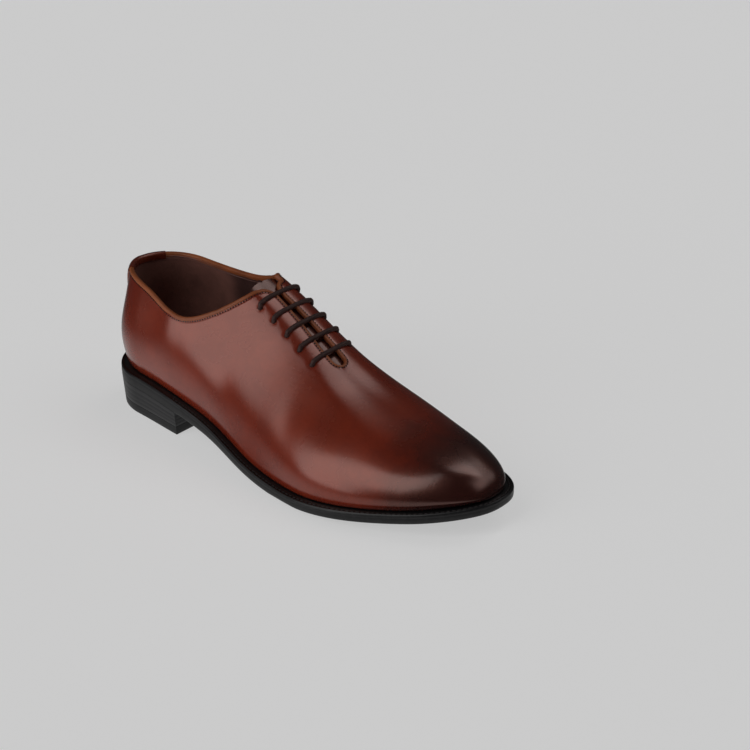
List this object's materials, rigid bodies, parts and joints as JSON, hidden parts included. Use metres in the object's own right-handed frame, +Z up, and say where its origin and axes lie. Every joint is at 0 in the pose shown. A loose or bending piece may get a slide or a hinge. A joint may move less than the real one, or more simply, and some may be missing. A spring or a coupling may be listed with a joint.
{
  "type": "dress shoe",
  "caption": "Right wholecut oxford dress shoe: one-piece polished leather upper with closed lacing, stitched welt, leather sole and stacked heel.",
  "frame": {"origin": "middle of the shoe's footprint box, on the floor plane that the heel and the forefoot stand on", "axes": "+X from heel to toe along the shoe, +Z up, +Y to the inner (medial) side of this right shoe"},
  "size_m": [0.305, 0.1086, 0.1055],
  "materials": {
    "upper_leather": "polished chestnut calf leather, burnished almost black at the toe",
    "lining_leather": "dark brown matt lining leather",
    "sole_leather": "black dyed and waxed sole leather",
    "heel_rubber": "matt black rubber",
    "lace": "round waxed dark brown braid"
  },
  "bodies": {
    "root": {"outsole": "sole_leather", "welt": "sole_leather", "heel_stack": "sole_leather", "heel_top_piece": "heel_rubber", "insole": "lining_leather", "upper": "upper_leather", "tongue": "upper_leather", "heel_tab": "upper_leather", "lace_bar_1": "lace", "lace_bar_2": "lace", "lace_bar_3": "lace", "lace_bar_4": "lace", "lace_bar_5": "lace"}
  },
  "joints": []
}
